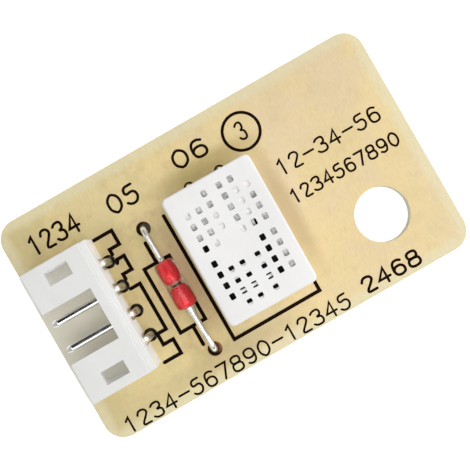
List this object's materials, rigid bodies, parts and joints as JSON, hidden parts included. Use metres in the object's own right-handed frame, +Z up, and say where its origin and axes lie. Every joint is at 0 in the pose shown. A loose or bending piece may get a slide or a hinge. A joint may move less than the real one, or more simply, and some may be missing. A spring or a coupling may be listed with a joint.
{
  "type": "humidity sensor board",
  "caption": "Small circuit board with a side-entry plug header, a glass thermistor on wire leads and a humidity sensor in a gridded white case.",
  "frame": {"origin": "under the board's centre, at the level of the trimmed lead tails that the part stands on", "axes": "+X along the board's long side, away from the plug header; +Y along its short side, towards the humidity sensor's wire end; +Z up, out of the component side"},
  "size_m": [0.037, 0.022, 0.009],
  "materials": {
    "board": "phenolic paper laminate, satin",
    "mask": "green solder mask, glossy",
    "copper": "rolled copper foil",
    "solder": "bright tin solder",
    "housing": "natural white nylon, satin",
    "pin": "tin plated",
    "case": "white moulded plastic, satin",
    "element": "unglazed white alumina",
    "electrode": "printed carbon and gold comb",
    "film": "dark moisture-sensitive polymer",
    "glass": "clear, fire polished",
    "stud": "red oxide coated copper-clad stud",
    "chip": "sintered oxide chip",
    "wire": "tinned wire"
  },
  "bodies": {
    "root": {"board_laminate": "board", "solder_mask": "mask", "connector_housing": "housing", "sensor_cover": "case", "sensor_base": "case", "sensor_substrate": "element", "sensor_electrode_left": "electrode", "sensor_electrode_right": "electrode", "sensor_film": "film", "thermistor_glass": "glass", "thermistor_chip": "chip", "copper_net_1": "copper", "connector_pin_1": "pin", "solder_pin_1": "solder", "copper_net_2": "copper", "connector_pin_2": "pin", "solder_pin_2": "solder", "copper_net_3": "copper", "connector_pin_3": "pin", "solder_pin_3": "solder", "copper_net_4": "copper", "connector_pin_4": "pin", "solder_pin_4": "solder", "sensor_lead_left": "wire", "sensor_tack_left": "solder", "solder_sensor_left": "solder", "sensor_lead_right": "wire", "sensor_tack_right": "solder", "solder_sensor_right": "solder", "thermistor_lead_upper": "wire", "thermistor_stud_upper": "stud", "solder_thermistor_upper": "solder", "thermistor_lead_lower": "wire", "thermistor_stud_lower": "stud", "solder_thermistor_lower": "solder"}
  },
  "joints": []
}
